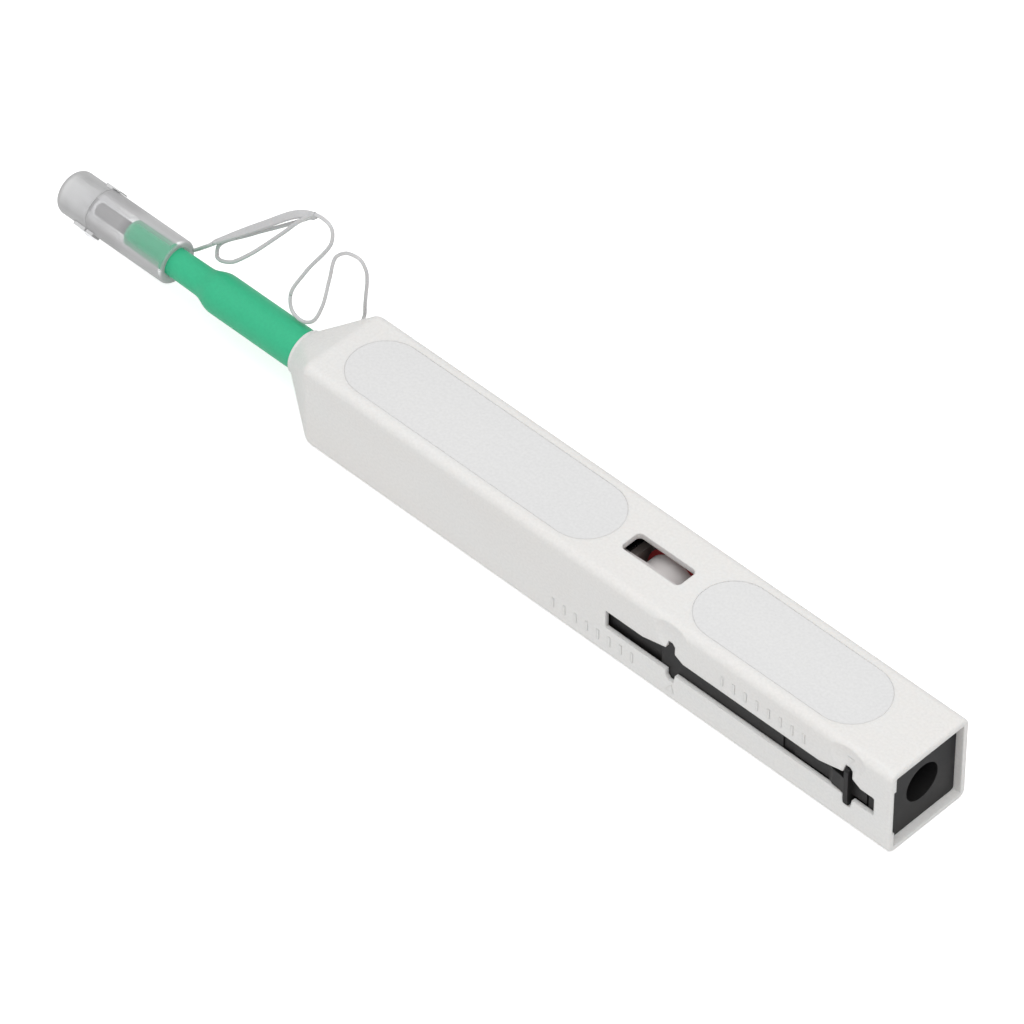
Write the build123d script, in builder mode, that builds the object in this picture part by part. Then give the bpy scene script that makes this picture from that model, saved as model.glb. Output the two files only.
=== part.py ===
from build123d import *
import os
from math import cos, pi, radians, sin

# A push-to-clean pen: a square sleeve with a sprung carriage inside that carries a nozzle and two tape reels.
# Frame: origin at the centre of the sleeve's flat underside, +Z up, the nozzle points along -X,
# and the side with the latch slot faces -Y. Millimetres.

# ---- driving dimensions: the sleeve ----
BODY_LENGTH = 129.5  # straight square part, shoulder to rear rim
BODY_SIZE = 18.0  # width and height of the square section
CORNER_R = 1.5
WALL = 1.2
NOSE_LENGTH = 8.9
NOSE_TIP_R = 4.15
SHOULDER_ROUND = 2.2
AXIS_Z = BODY_SIZE / 2
HALF = BODY_SIZE / 2
REAR_X = BODY_LENGTH / 2
SHOULDER_X = -BODY_LENGTH / 2
NOSE_X = SHOULDER_X - NOSE_LENGTH
NOSE_WALL_X = SHOULDER_X + 1.25  # where the square cavity ends
RIM_ROUND = 0.45

# ---- motions ----
EXTENSION = 38.0  # travel between the two latch stops
TURN_PITCH = 24.0  # lead of the helical groove: half a turn over the push stroke

# ---- latch slot, distances from the rear rim ----
SLOT_REAR = 3.4
SLOT_FRONT = 61.2
SLOT_Z = 8.7
SLOT_HEIGHT = 3.9
REST_STOP = 9.1
FAR_STOP = REST_STOP + EXTENSION
NOTCH_TOP = 13.35
NOTCH_BOTTOM = 4.8
GROOVE_DEPTH = 0.45
GROOVE_LOW = 4.3
GROOVE_HIGH = 13.9
GROOVE_FRONT = 101.5

# ---- window and labels on the top face, distances from the rear rim ----
WINDOW_REAR = 51.9
WINDOW_FRONT = 64.5
WINDOW_WIDTH = 4.5
WINDOW_CORNER = 0.9
WINDOW_ROUND = 0.14
LABEL_WIDTH = 13.5
LABEL_RECESS = 0.35
LABEL_THICK = 0.29
FRONT_LABEL = (67.5, 126.2)
REAR_LABEL = (10.1, 48.3)

# ---- sled ----
SLED_GAP = 0.1
SLED_HALF = HALF - WALL - SLED_GAP
SLED_WALL = 1.2
SLED_BOTTOM = WALL + SLED_GAP
SLED_TOP = BODY_SIZE - WALL - SLED_GAP
SLED_FLOOR = SLED_BOTTOM + SLED_WALL
SLED_FRONT = 80.0
PLUG_RECESS = 1.45
PLUG_FRONT = 12.0
SOCKET_R = 3.65
SOCKET_DEPTH = 5.0
RAIL_FACE = HALF - WALL + GROOVE_DEPTH - 0.08  # distance of the rail's face from the mid plane
RAIL_LOW = GROOVE_LOW + 0.2
RAIL_FRONT = 49.6
RAIL_HIGH = GROOVE_HIGH - 0.2
LEVER_ROOT = 21.0
LEVER_TAIL = 5.6
LEVER_THICK = 1.2
LEVER_HEIGHT = 3.5
LEVER_PLATE = 0.9
LEVER_PROUD = 0.35
LEVER_SEAT = -7.15  # face of the sled's wall behind the latch's foot
PIN_AT = 68.7
PIN_R = 0.4

# ---- carriage ----
FRAME_REAR = 32.6
FRAME_FRONT = 89.5
BLOCK_REAR = 83.5
TUBE_REAR = 86.5  # where the nozzle tube ends in the front block
FRAME_HALF = 6.3
FRAME_LOW = 2.75
FRAME_TOP = 15.8
SIDE_PLATE = 1.4
COVER_THICK = 0.9
SUPPLY_AT = 58.5
TAKE_UP_AT = 41.7
FLANGE_R = 6.2
FLANGE_THICK = 0.8
REEL_NEAR = -2.7
REEL_FAR = 5.2
HUB_R = 2.2
SUPPLY_TAPE_R = 5.4
TAKE_UP_TAPE_R = 3.6
AXLE_R = 0.8
AXLE_BORE_R = 0.87

# ---- rack and pinion ----
GEAR_MODULE = 0.5
GEAR_TEETH = 20
GEAR_R = GEAR_MODULE * GEAR_TEETH / 2
TOOTH_TIP = 0.4
TOOTH_ROOT = 0.62
GEAR_LOW = -4.6  # the two faces of the gear and rack, across the pen
GEAR_HIGH = -3.0
RACK_FRONT = 47.5
RACK_REAR = 25.5

# ---- cam, shaft and head ----
CAM_R = 3.6
JOURNAL_FRONT = 66.5  # bulkhead that carries the cam's rear journal
JOURNAL_REAR = 65.1
CAM_REAR = 66.9
CAM_FRONT = 82.6
CAM_GROOVE_R = 0.72
SHAFT_R = 0.65
SHAFT_FRONT = 176.5
HEAD_FRONT = 187.8
HEAD_R = 0.5
STEM_R = 0.3

# ---- nozzle, distances from the rear rim ----
TUBE_R = 3.76
NECK_R = 2.68
NECK_TIP_R = 2.45
SHOULDER_START = 157.9
SHOULDER_END = 162.6
TUBE_FRONT = 179.6
TUBE_BORE_R = 2.6
NECK_BORE_R = 1.75
SLEEVE_R = 1.25
SLEEVE_BORE_R = 1.02
SLEEVE_REAR = 173.0
SLEEVE_FRONT = 187.6
NOSE_BORE_R = TUBE_R + 0.08

# ---- cap, distances from the rear rim ----
CAP_REAR = 168.8
CAP_SEAM = 186.8
CAP_TIP = 194.6
CAP_R = 4.15
CAP_BORE_R = 2.8
RIM_RADIUS = 0.6  # rounding of the cap's rear rim
LID_CORNER = 1.5
LID_BORE_R = 3.35
LID_END_WALL = 1.0
GUIDE_TIP = 191.2
GUIDE_BORE_R = 1.28
HINGE_PROUD = 0.4
LIP_PROUD = 0.3
LID_HINGE_ANGLE = 215.0  # where the living hinge sits round the cap, from +Y towards +Z

TAPE_WIDTH = 0.9
TAPE_THICK = 0.12
STRAP_R = 0.42
STRAP_HOLE_AT = 133.2
STRAP_HOLE_Z = 13.4
STRAP_HOLE_R = 0.75


def at(distance):
    """X of a station this far in front of the rear rim."""
    return REAR_X - distance


def block(front, rear, y_low, y_high, z_low, z_high, mode=Mode.ADD):
    """A box between two stations and given heights and sides, in the part being built."""
    centre = (at((front + rear) / 2), (y_low + y_high) / 2, (z_low + z_high) / 2)
    with Locations(centre):
        Box(front - rear, y_high - y_low, z_high - z_low, mode=mode)


def rod_x(front, rear, radius, y=0.0, z=AXIS_Z, mode=Mode.ADD):
    """A cylinder along X between two stations."""
    with Locations(Location((at((front + rear) / 2), y, z), (0, 90, 0))):
        Cylinder(radius, front - rear, mode=mode)


def rod_y(station, y_low, y_high, radius, z=AXIS_Z, mode=Mode.ADD):
    """A cylinder along Y at one station."""
    with Locations(Location((at(station), (y_low + y_high) / 2, z), (90, 0, 0))):
        Cylinder(radius, y_high - y_low, mode=mode)


def side_points(stop, pairs):
    """Outline points in the side face's plane, given as (distance behind a stop, height)."""
    return [(at(stop) + offset, height) for offset, height in pairs]


def finish(builder, name):
    """Label the piece and write it."""
    builder.part.label = name
    export_step(builder.part, f"parts/{name}.step")


os.makedirs("parts", exist_ok=True)

# =============================== the sleeve ===============================
NOTCH_OUTLINE = [
    (-6.0, SLOT_Z + SLOT_HEIGHT / 2 - 0.3),
    (-6.0, SLOT_Z + SLOT_HEIGHT / 2),
    (-0.95, 11.95),
    (-0.65, NOTCH_TOP),
    (0.25, NOTCH_TOP),
    (0.85, 12.9),
    (1.1, 11.6),
    (2.8, SLOT_Z + SLOT_HEIGHT / 2),
    (2.8, SLOT_Z - SLOT_HEIGHT / 2 + 0.3),
    (1.15, SLOT_Z - SLOT_HEIGHT / 2),
    (0.75, NOTCH_BOTTOM),
    (-0.3, NOTCH_BOTTOM),
    (-0.85, 5.4),
    (-0.85, SLOT_Z - SLOT_HEIGHT / 2),
]
SCOOP_R = 12.0
SCOOP_DEPTH = 0.55
SCOOP_Z = 15.4
TICK_COUNT = 8
TICK_PITCH = 2.5
TICK_RAISE = 0.12

with BuildPart() as casing:
    with BuildSketch(Plane.YZ.offset(SHOULDER_X)):
        with Locations((0, AXIS_Z)):
            RectangleRounded(BODY_SIZE, BODY_SIZE, CORNER_R)
    extrude(amount=BODY_LENGTH)
    # nose: square shoulder running into a round collar
    with BuildSketch(Plane.YZ.offset(SHOULDER_X)):
        with Locations((0, AXIS_Z)):
            RectangleRounded(BODY_SIZE, BODY_SIZE, CORNER_R)
    with BuildSketch(Plane.YZ.offset(NOSE_X + 0.5)):
        with Locations((0, AXIS_Z)):
            RectangleRounded(2 * NOSE_TIP_R, 2 * NOSE_TIP_R, NOSE_TIP_R - 0.02)
    loft()
    fillet(casing.edges().filter_by_position(Axis.X, SHOULDER_X - 0.01, SHOULDER_X + 0.01), SHOULDER_ROUND)
    rod_x(REAR_X - NOSE_X, REAR_X - NOSE_X - 0.5, NOSE_TIP_R)
    # rear rim edges, then the square cavity
    fillet(casing.edges().group_by(Axis.X)[-1], RIM_ROUND)
    with BuildSketch(Plane.YZ.offset(NOSE_WALL_X)):
        with Locations((0, AXIS_Z)):
            RectangleRounded(BODY_SIZE - 2 * WALL, BODY_SIZE - 2 * WALL, 0.25)
    extrude(amount=BODY_LENGTH, mode=Mode.SUBTRACT)
    # tapered cavity in the nose and the running bore for the nozzle
    with BuildSketch(Plane.YZ.offset(NOSE_WALL_X + 0.01)):
        with Locations((0, AXIS_Z)):
            RectangleRounded(BODY_SIZE - 2.6 * WALL, BODY_SIZE - 2.6 * WALL, 0.8)
    with BuildSketch(Plane.YZ.offset(NOSE_X + 2.6)):
        with Locations((0, AXIS_Z)):
            RectangleRounded(2 * NOSE_BORE_R, 2 * NOSE_BORE_R, NOSE_BORE_R - 0.02)
    loft(mode=Mode.SUBTRACT)
    rod_x(REAR_X - NOSE_X + 1, REAR_X - NOSE_X - 3, NOSE_BORE_R, mode=Mode.SUBTRACT)
    # inner groove for the sled's rail
    block(GROOVE_FRONT, -1, -HALF + WALL - GROOVE_DEPTH, 0, GROOVE_LOW, GROOVE_HIGH, mode=Mode.SUBTRACT)
    # latch slot with its two stops
    with BuildSketch(Plane.XZ.offset(HALF + 1)):
        with Locations((at((SLOT_FRONT + SLOT_REAR) / 2), SLOT_Z)):
            RectangleRounded(SLOT_FRONT - SLOT_REAR, SLOT_HEIGHT, 0.3)
        for stop in (REST_STOP, FAR_STOP):
            with BuildLine():
                Polyline(side_points(stop, NOTCH_OUTLINE), close=True)
            make_face()
    extrude(amount=-3, mode=Mode.SUBTRACT)
    # shallow finger scoops above the two stops
    for stop in (REST_STOP, FAR_STOP):
        with Locations((at(stop), -HALF - SCOOP_R + SCOOP_DEPTH, SCOOP_Z)):
            Sphere(SCOOP_R, mode=Mode.SUBTRACT)
    # reel window
    with BuildSketch(Plane.XY.offset(BODY_SIZE - 2 * WALL)):
        with Locations((at((WINDOW_FRONT + WINDOW_REAR) / 2), 0)):
            RectangleRounded(WINDOW_FRONT - WINDOW_REAR, WINDOW_WIDTH, WINDOW_CORNER)
    extrude(amount=3 * WALL, mode=Mode.SUBTRACT)
    fillet(casing.faces().sort_by(Axis.Z)[-1].edges().filter_by_position(
        Axis.X, at(WINDOW_FRONT + 0.1), at(WINDOW_REAR - 0.1)), WINDOW_ROUND)
    # label recesses
    with BuildSketch(Plane.XY.offset(BODY_SIZE - LABEL_RECESS)):
        for rear, front in (FRONT_LABEL, REAR_LABEL):
            with Locations((at((rear + front) / 2), 0)):
                SlotOverall(front - rear, LABEL_WIDTH)
    extrude(amount=2, mode=Mode.SUBTRACT)
    # raised pointers at the two stops and a plain row of ticks beside each
    with BuildSketch(Plane.XZ.offset(HALF)):
        with Locations((at(FAR_STOP) + 0.2, 3.1)):
            Triangle(c=2.0, a=1.7, b=1.7)
        with Locations((at(FAR_STOP + 17), 4.1)):
            with GridLocations(TICK_PITCH, 1, TICK_COUNT, 1):
                Rectangle(0.5, 2.0)
        with Locations((at(REST_STOP + 18), 13.2)):
            with GridLocations(TICK_PITCH, 1, TICK_COUNT, 1):
                Rectangle(0.5, 2.0)
    extrude(amount=TICK_RAISE)
    # pointer in the rear scoop
    with BuildSketch(Plane.XZ.offset(HALF - SCOOP_DEPTH - 0.1)):
        with Locations((at(REST_STOP) + 0.2, 15.0)):
            Triangle(c=1.6, a=1.4, b=1.4, rotation=180)
    extrude(amount=0.1 + TICK_RAISE)
    # hole for the strap's plug in the far side of the nose
    with Locations(Location((at(STRAP_HOLE_AT), HALF - 1.5, STRAP_HOLE_Z), (90, 0, 0))):
        Cylinder(STRAP_HOLE_R, 6, mode=Mode.SUBTRACT)
finish(casing, "casing")


def label_panel(name, rear, front):
    """A thin printed panel stuck in its recess; the print itself is left out."""
    with BuildPart() as panel:
        with BuildSketch(Plane.XY.offset(BODY_SIZE - LABEL_RECESS)):
            with Locations((at((rear + front) / 2), 0)):
                SlotOverall(front - rear, LABEL_WIDTH)
        extrude(amount=LABEL_THICK)
    finish(panel, name)


label_panel("front_label", *FRONT_LABEL)
label_panel("rear_label", *REAR_LABEL)

# =============================== the sled ===============================
TOOTH_PITCH = pi * GEAR_MODULE
RACK_LINE = AXIS_Z - GEAR_R
TOOTH_HALF = 0.31
FLANK = 0.34  # half width gained from tip to root over one tooth

with BuildPart() as slider_base:
    # rear plug
    block(PLUG_FRONT, PLUG_RECESS, -SLED_HALF, SLED_HALF, SLED_BOTTOM, SLED_TOP)
    fillet(slider_base.edges().filter_by(Axis.X), 0.7)
    # tray: floor and side walls
    block(SLED_FRONT, PLUG_FRONT - 0.5, -SLED_HALF, SLED_HALF, SLED_BOTTOM, SLED_FLOOR)
    block(SLED_FRONT, PLUG_FRONT - 0.5, -SLED_HALF, -SLED_HALF + SLED_WALL, SLED_BOTTOM, SLED_TOP - 1)
    block(SLED_FRONT, PLUG_FRONT - 0.5, SLED_HALF - SLED_WALL, SLED_HALF, SLED_BOTTOM, SLED_TOP - 1)
    # rail that fills the sleeve's groove
    block(RAIL_FRONT, PLUG_RECESS + 0.8, -RAIL_FACE, -SLED_HALF + 0.2, RAIL_LOW, RAIL_HIGH)
    # room for the latch to bend inwards
    block(LEVER_ROOT + 0.3, LEVER_TAIL - 0.4, -HALF, -SLED_HALF + 3.6, RAIL_LOW - 0.4, RAIL_HIGH + 0.2,
          mode=Mode.SUBTRACT)
    # seat for the latch's foot
    block(LEVER_ROOT + 2.3, LEVER_ROOT, -HALF, LEVER_SEAT, 6.1, 11.3, mode=Mode.SUBTRACT)
    # rear socket and the bore for the spring's rod
    rod_x(PLUG_RECESS + SOCKET_DEPTH, -1, SOCKET_R, mode=Mode.SUBTRACT)
    rod_x(PLUG_FRONT + 1, PLUG_RECESS + SOCKET_DEPTH + 1, 1.35, mode=Mode.SUBTRACT)
    # hole for the cam's pin
    rod_y(PIN_AT, 5, HALF, PIN_R, mode=Mode.SUBTRACT)
    # rack on the floor
    block(RACK_FRONT, RACK_REAR, GEAR_LOW, GEAR_HIGH, SLED_FLOOR - 0.1, RACK_LINE - TOOTH_ROOT)
    with BuildSketch(Plane.XZ.offset(-GEAR_HIGH)):
        for count in range(-3, 11):
            centre = at(TAKE_UP_AT) + count * TOOTH_PITCH
            with BuildLine():
                Polyline(
                    (centre - TOOTH_HALF - FLANK / 2, RACK_LINE - TOOTH_ROOT - 0.05),
                    (centre - TOOTH_HALF + FLANK / 2, RACK_LINE + TOOTH_TIP),
                    (centre + TOOTH_HALF - FLANK / 2, RACK_LINE + TOOTH_TIP),
                    (centre + TOOTH_HALF + FLANK / 2, RACK_LINE - TOOTH_ROOT - 0.05),
                    close=True,
                )
            make_face()
    extrude(amount=GEAR_HIGH - GEAR_LOW)
finish(slider_base, "slider_base")

with BuildPart() as lock_lever:
    # sprung tongue
    block(LEVER_ROOT - 0.1, LEVER_TAIL, -RAIL_FACE + 0.05, -RAIL_FACE + 0.05 + LEVER_THICK,
          SLOT_Z - LEVER_HEIGHT / 2, SLOT_Z + LEVER_HEIGHT / 2)
    # foot that is fixed to the sled's ledge, set back so that it clears the sleeve as the latch is pressed
    block(LEVER_ROOT + 2.2, LEVER_ROOT - 0.6, -RAIL_FACE + 0.22, LEVER_SEAT, 6.2, 11.2)
    # thumb ramp that rises towards the plate
    with BuildSketch(Plane.XY.offset(SLOT_Z - LEVER_HEIGHT / 2)):
        with BuildLine():
            ramp_start = at(REST_STOP + 5.0)
            plate_front = at(REST_STOP + LEVER_PLATE / 2)
            Polyline(
                (ramp_start, -RAIL_FACE + 0.2),
                (ramp_start + 1.6, -HALF + 0.35),
                (plate_front - 1.2, -HALF + 0.2),
                (plate_front + 0.1, -HALF - 0.1),
                (plate_front + 0.1, -RAIL_FACE + 1.2),
                (ramp_start + 1.0, -RAIL_FACE + 1.2),
                close=True,
            )
        make_face()
    extrude(amount=LEVER_HEIGHT)
    # T plate that stands in the stop
    with BuildSketch(Plane.YZ.offset(at(REST_STOP + LEVER_PLATE / 2))):
        with Locations((-HALF - LEVER_PROUD + 1.25, (NOTCH_TOP + NOTCH_BOTTOM) / 2)):
            RectangleRounded(2.5, NOTCH_TOP - NOTCH_BOTTOM - 0.5, 0.5)
    extrude(amount=LEVER_PLATE)
finish(lock_lever, "lock_lever")

with BuildPart() as guide_pin:
    rod_y(PIN_AT, CAM_R - 0.42, SLED_HALF - 0.1, PIN_R)
    chamfer(guide_pin.edges().group_by(Axis.Y)[-1], 0.1)
finish(guide_pin, "guide_pin")

# =============================== the carriage ===============================
with BuildPart() as carriage_frame:
    # side plate next to the gear, and front block
    block(BLOCK_REAR + 1, FRAME_REAR, -FRAME_HALF, -FRAME_HALF + SIDE_PLATE, FRAME_LOW + 0.5, FRAME_TOP)
    block(FRAME_FRONT, BLOCK_REAR, -FRAME_HALF, FRAME_HALF, FRAME_LOW, FRAME_TOP)
    # floor of the cam bay
    block(BLOCK_REAR + 1, JOURNAL_REAR, -FRAME_HALF, FRAME_HALF, FRAME_LOW, FRAME_LOW + 0.6)
    # bulkhead that carries the cam's rear journal
    block(JOURNAL_FRONT, JOURNAL_REAR, -FRAME_HALF, FRAME_HALF, 6.0, 12.0)
    # rear wall and the boss that spaces the supply reel
    block(FRAME_REAR + 1.8, FRAME_REAR, -FRAME_HALF, FRAME_HALF, FRAME_LOW + 0.5, FRAME_TOP)
    rod_y(SUPPLY_AT, -FRAME_HALF + SIDE_PLATE - 0.1, -3.5, 1.8)
    # passage for the rack under the rear wall
    block(FRAME_REAR + 3, FRAME_REAR - 1, GEAR_LOW - 0.3, GEAR_HIGH + 0.3, 0, RACK_LINE + 0.8, mode=Mode.SUBTRACT)
    fillet(carriage_frame.edges().filter_by(Axis.X).group_by(Axis.Z)[-1], 0.4)
    # nozzle socket, funnel for the tape, cam journals, axle and rod holes
    rod_x(FRAME_FRONT + 1, TUBE_REAR, TUBE_R, mode=Mode.SUBTRACT)
    rod_x(TUBE_REAR + 1, BLOCK_REAR - 1, TUBE_BORE_R, mode=Mode.SUBTRACT)
    with BuildSketch(Plane.XZ.offset(-0.8)):
        with BuildLine():
            Polyline(
                (at(BLOCK_REAR - 1), 3.9),
                (at(BLOCK_REAR), 3.9),
                (at(TUBE_REAR + 0.5), 6.6),
                (at(TUBE_REAR + 0.5), 11.4),
                (at(BLOCK_REAR), 14.1),
                (at(BLOCK_REAR - 1), 14.1),
                close=True,
            )
        make_face()
    extrude(amount=1.6, mode=Mode.SUBTRACT)
    rod_x(JOURNAL_FRONT + 1, JOURNAL_REAR - 1, 1.3, mode=Mode.SUBTRACT)
    rod_x(FRAME_REAR + 3, FRAME_REAR - 1, 1.15, mode=Mode.SUBTRACT)
    for station in (SUPPLY_AT, TAKE_UP_AT):
        rod_y(station, -HALF, -3, AXLE_R, mode=Mode.SUBTRACT)
finish(carriage_frame, "carriage_frame")

with BuildPart() as carriage_cover:
    block(JOURNAL_REAR - 0.2, FRAME_REAR + 1.9, FRAME_HALF - COVER_THICK, FRAME_HALF, FRAME_LOW + 0.8, FRAME_TOP)
    fillet(carriage_cover.edges().filter_by(Axis.Y), 1.2)
    with BuildSketch(Plane.XZ.offset(-FRAME_HALF)):
        with Locations((at((SUPPLY_AT + TAKE_UP_AT) / 2), AXIS_Z)):
            RectangleRounded(5.0, 7.0, 0.8)
    extrude(amount=2, mode=Mode.SUBTRACT)
    for station in (SUPPLY_AT, TAKE_UP_AT):
        rod_y(station, 0, HALF, AXLE_R, mode=Mode.SUBTRACT)
finish(carriage_cover, "carriage_cover")

with BuildPart() as reel_axles:
    for station in (SUPPLY_AT, TAKE_UP_AT):
        rod_y(station, -FRAME_HALF + 0.1, FRAME_HALF - 0.1, AXLE_R)
    chamfer(reel_axles.edges().filter_by(GeomType.CIRCLE), 0.15)
finish(reel_axles, "reel_axles")

with BuildPart() as friction_washer:
    rod_y(SUPPLY_AT, -3.4, REEL_NEAR - 0.1, 1.9)
    rod_y(SUPPLY_AT, -4, REEL_NEAR + 1, AXLE_R + 0.05, mode=Mode.SUBTRACT)
finish(friction_washer, "friction_washer")


def reel(name, station, hub_radius, ratchet_teeth):
    """A spool: hub and two flanges, the near flange with lightening holes; ratchet teeth if it has any."""
    with BuildPart() as spool:
        rod_y(station, REEL_NEAR, REEL_FAR, hub_radius)
        rod_y(station, REEL_FAR - FLANGE_THICK, REEL_FAR, FLANGE_R)
        if ratchet_teeth:
            with BuildSketch(Plane.XZ.offset(-REEL_NEAR)):
                with BuildLine():
                    corners = []
                    for tooth in range(ratchet_teeth):
                        angle = 2 * pi * tooth / ratchet_teeth
                        for radius in (FLANGE_R, FLANGE_R - 0.5):
                            corners.append((at(station) + radius * cos(angle), AXIS_Z + radius * sin(angle)))
                    Polyline(corners, close=True)
                make_face()
            extrude(amount=-FLANGE_THICK)
        else:
            rod_y(station, REEL_NEAR, REEL_NEAR + FLANGE_THICK, FLANGE_R)
        with BuildSketch(Plane.XZ.offset(-REEL_FAR - 1)):
            with Locations((at(station), AXIS_Z)):
                with PolarLocations(4.2, 6):
                    Circle(0.8)
                Circle(AXLE_BORE_R)
        extrude(amount=REEL_FAR - REEL_NEAR + 2, mode=Mode.SUBTRACT)
    finish(spool, name)


def tape_roll(name, station, outer_radius):
    """Wound tape between the flanges, with slightly rounded shoulders."""
    with BuildPart() as roll:
        rod_y(station, REEL_NEAR + FLANGE_THICK + 0.02, REEL_FAR - FLANGE_THICK - 0.02, outer_radius)
        fillet(roll.edges().filter_by(GeomType.CIRCLE), 0.3)
        rod_y(station, REEL_NEAR, REEL_FAR, HUB_R + 0.01, mode=Mode.SUBTRACT)
    finish(roll, name)


reel("supply_reel", SUPPLY_AT, HUB_R, 0)
reel("take_up_reel", TAKE_UP_AT, HUB_R, 30)
tape_roll("supply_tape_roll", SUPPLY_AT, SUPPLY_TAPE_R)
tape_roll("take_up_tape_roll", TAKE_UP_AT, TAKE_UP_TAPE_R)

with BuildPart() as drive_gear:
    rod_y(TAKE_UP_AT, GEAR_LOW, GEAR_HIGH, GEAR_R - TOOTH_ROOT)
    with BuildSketch(Plane.XZ.offset(-GEAR_HIGH)):
        for tooth in range(GEAR_TEETH):
            angle = -pi / 2 + (tooth + 0.5) * 2 * pi / GEAR_TEETH
            corners = []
            for radius, half in (
                (GEAR_R - TOOTH_ROOT - 0.1, TOOTH_HALF + FLANK / 2),
                (GEAR_R + TOOTH_TIP, TOOTH_HALF - FLANK / 2),
                (GEAR_R + TOOTH_TIP, -TOOTH_HALF + FLANK / 2),
                (GEAR_R - TOOTH_ROOT - 0.1, -TOOTH_HALF - FLANK / 2),
            ):
                corners.append((
                    at(TAKE_UP_AT) + radius * cos(angle) - half * sin(angle),
                    AXIS_Z + radius * sin(angle) + half * cos(angle),
                ))
            with BuildLine():
                Polyline(corners, close=True)
            make_face()
    extrude(amount=GEAR_HIGH - GEAR_LOW)
    rod_y(TAKE_UP_AT, -HALF, 0, AXLE_BORE_R, mode=Mode.SUBTRACT)
finish(drive_gear, "drive_gear")

with BuildPart() as ratchet_pawl:
    # leaf from the frame's rear wall down to the ratchet teeth
    pawl_root = (at(FRAME_REAR + 1.8) - 0.02, 14.6)
    pawl_tip = (at(TAKE_UP_AT) + 3.1, AXIS_Z + 5.55)
    with BuildSketch(Plane.XZ.offset(-REEL_NEAR)):
        with BuildLine():
            Polyline(
                pawl_root,
                (pawl_root[0], pawl_root[1] + 0.9),
                (pawl_root[0] - 0.6, pawl_root[1] + 0.9),
                (pawl_tip[0], pawl_tip[1] + 0.35),
                pawl_tip,
                close=True,
            )
        make_face()
    extrude(amount=-0.8)
finish(ratchet_pawl, "ratchet_pawl")

with BuildPart() as spring_rod:
    rod_x(FRAME_REAR + 1.7, 20.0, 1.15)
    chamfer(spring_rod.edges().group_by(Axis.X)[-1], 0.3)
finish(spring_rod, "spring_rod")


def coil(name, front, rear, mean_radius, wire_radius, turns):
    """A compression spring along the pen's axis."""
    length = front - rear - 2 * wire_radius
    with BuildPart() as spring:
        with BuildLine() as wire:
            Helix(
                pitch=length / turns,
                height=length,
                radius=mean_radius,
                center=(at(front) + wire_radius, 0, AXIS_Z),
                direction=(1, 0, 0),
            )
        with BuildSketch(Plane(origin=wire.line @ 0, z_dir=wire.line % 0)):
            Circle(wire_radius)
        sweep(is_frenet=True)
    finish(spring, name)


coil("return_spring", FRAME_REAR - 0.1, PLUG_FRONT + 0.1, 2.6, 0.3, 9)

# =============================== cam, shaft and head ===============================
with BuildPart() as cam_shaft:
    rod_x(CAM_FRONT, CAM_REAR, CAM_R)
    fillet(cam_shaft.edges().filter_by(GeomType.CIRCLE), 0.3)
    # helical groove; it starts above the axis and has turned to the +Y side where the pin stands
    with BuildLine() as groove:
        Helix(
            pitch=TURN_PITCH,
            height=PIN_AT + 0.75 * TURN_PITCH - CAM_REAR + 2,
            radius=CAM_R,
            center=(at(PIN_AT + 0.75 * TURN_PITCH), 0, AXIS_Z),
            direction=(1, 0, 0),
        )
    with BuildSketch(Plane(origin=groove.line @ 0, z_dir=groove.line % 0)):
        Circle(CAM_GROOVE_R)
    sweep(is_frenet=True, mode=Mode.SUBTRACT)
    # rear journal and the long shaft with its blind front bore
    rod_x(CAM_REAR + 0.1, JOURNAL_REAR + 0.2, 1.2)
    rod_x(SHAFT_FRONT, CAM_FRONT - 0.1, SHAFT_R)
    rod_x(SHAFT_FRONT + 1, SHAFT_FRONT - 5.8, STEM_R + 0.06, mode=Mode.SUBTRACT)
finish(cam_shaft, "cam_shaft")

with BuildPart() as cleaning_head:
    rod_x(HEAD_FRONT, 179.0, HEAD_R)
    fillet(cleaning_head.edges().group_by(Axis.X)[0], 0.25)
    rod_x(179.1, SHAFT_FRONT - 5.0, STEM_R)
finish(cleaning_head, "cleaning_head")

coil("head_spring", 178.95, SHAFT_FRONT + 0.05, 0.45, 0.07, 6)

TAPE_PATH = [
    (SUPPLY_AT, AXIS_Z - SUPPLY_TAPE_R - 0.1),
    (BLOCK_REAR - 0.2, 4.6),
    (TUBE_REAR + 0.6, 7.3),
    (169.5, 7.75),
    (172.4, AXIS_Z - 0.75),
    (187.96, AXIS_Z - 0.75),
    (187.96, AXIS_Z + 0.75),
    (172.4, AXIS_Z + 0.75),
    (169.5, 10.25),
    (TUBE_REAR + 0.6, 10.7),
    (BLOCK_REAR - 0.2, 13.4),
    (SUPPLY_AT, AXIS_Z + SUPPLY_TAPE_R + 0.35),
    (TAKE_UP_AT, AXIS_Z + TAKE_UP_TAPE_R + 0.16),
]
with BuildPart() as cleaning_tape:
    with BuildSketch(Plane.XZ.offset(-TAPE_WIDTH / 2)):
        with BuildLine():
            Polyline([(at(station), height) for station, height in TAPE_PATH])
        trace(line_width=TAPE_THICK)
    extrude(amount=TAPE_WIDTH)
finish(cleaning_tape, "cleaning_tape")

# =============================== nozzle ===============================
AXIS_LINE = Axis((0, 0, AXIS_Z), (1, 0, 0))


def ring_point(station, radius):
    """A point of a turned profile, in the XZ plane."""
    return (at(station), AXIS_Z + radius)


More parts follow.
